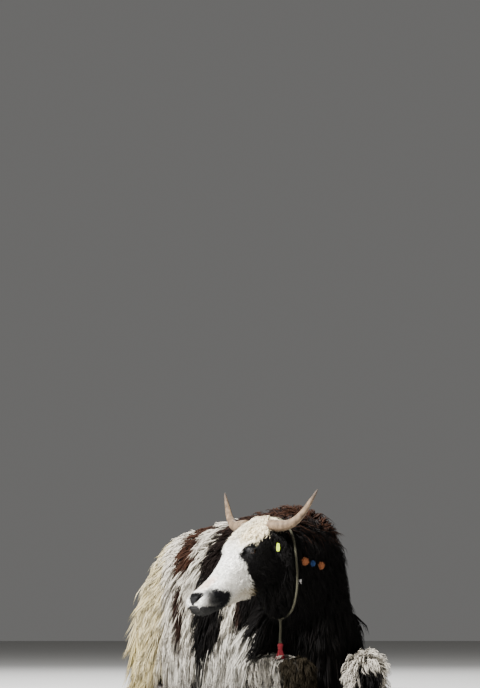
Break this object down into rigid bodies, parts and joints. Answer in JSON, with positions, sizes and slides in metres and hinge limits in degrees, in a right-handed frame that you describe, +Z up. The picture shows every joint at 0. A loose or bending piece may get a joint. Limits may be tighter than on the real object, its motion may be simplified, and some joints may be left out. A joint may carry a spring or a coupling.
{
  "type": "lying yak model",
  "caption": "Still life-size model of a long-haired pied yak lying down with its head turned to its right, wearing a rope collar.",
  "frame": {"origin": "on the floor, on the flat under the brisket between the elbows, in the body's middle plane", "axes": "+Z up, the yak faces -Y with its tail towards +Y, and its right side is -X"},
  "size_m": [1.0329, 1.7183, 0.8552],
  "materials": {
    "coat_pied": "long and short animal hair in black, reddish brown and cream-white patches, soft, with a faint sheen",
    "coat_black": "black animal hair, rusty at the tips, soft sheen",
    "coat_white": "long grey-white animal hair in locks",
    "tail_hair": "long cream, slightly yellow tail hair in locks",
    "hoof": "dark hoof horn, dull, with faint growth lines",
    "eye": "dark wet eye",
    "horn": "beige-grey horn, ringed, darker and smoother at the tip",
    "rope": "worn olive-grey twisted rope",
    "red_wool": "red wool tassel",
    "orange_wool": "orange wool ball",
    "blue_wool": "blue wool ball",
    "pale_knot": "pale wool knot",
    "ear_tag": "yellow-green flexible plastic, blank"
  },
  "bodies": {
    "root": {"torso": "coat_pied", "head": "coat_pied", "neck": "coat_black", "foreleg_left": "coat_black", "hindleg_left": "coat_black", "ear_left": "coat_black", "ear_right": "coat_black", "foreleg_right": "coat_white", "hindleg_right": "coat_white", "tail": "tail_hair", "hoof_front_left": "hoof", "hoof_front_right": "hoof", "hoof_hind_left": "hoof", "hoof_hind_right": "hoof", "eye_left": "eye", "eye_right": "eye", "horn_left": "horn", "horn_right": "horn", "collar_rope": "rope", "collar_strap": "rope", "collar_tassel": "red_wool", "wool_ball_front": "orange_wool", "wool_ball_back": "orange_wool", "wool_ball_middle": "blue_wool", "neck_knot": "pale_knot", "ear_tag": "ear_tag"}
  },
  "joints": []
}
